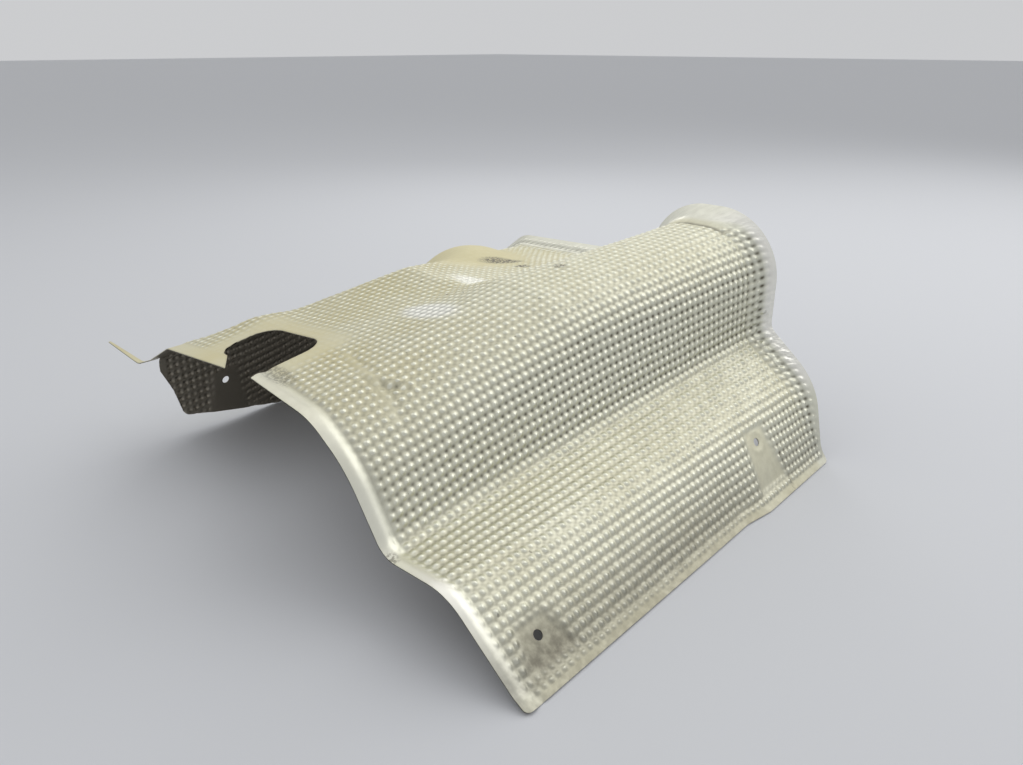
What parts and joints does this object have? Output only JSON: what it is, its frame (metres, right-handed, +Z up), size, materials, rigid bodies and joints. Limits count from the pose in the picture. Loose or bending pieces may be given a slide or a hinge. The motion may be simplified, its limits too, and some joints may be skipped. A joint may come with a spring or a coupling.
{
  "type": "exhaust heat shield",
  "caption": "Pressed sheet heat shield: a tunnel that rises to a flared collar, an embossed face, side flanges with bolt holes and a notched shelf, to cover an exhaust pipe.",
  "frame": {"origin": "on the floor, below the middle of the whole outline", "axes": "+X across the tunnel towards the long bolt flange, +Y along the tunnel from the low mouth to the flared collar, +Z up"},
  "size_m": [0.5838, 0.409, 0.216],
  "materials": {
    "embossed_sheet": "embossed, satin, with a dusty film"
  },
  "bodies": {
    "root": {"heat_shield": "embossed_sheet"}
  },
  "joints": []
}
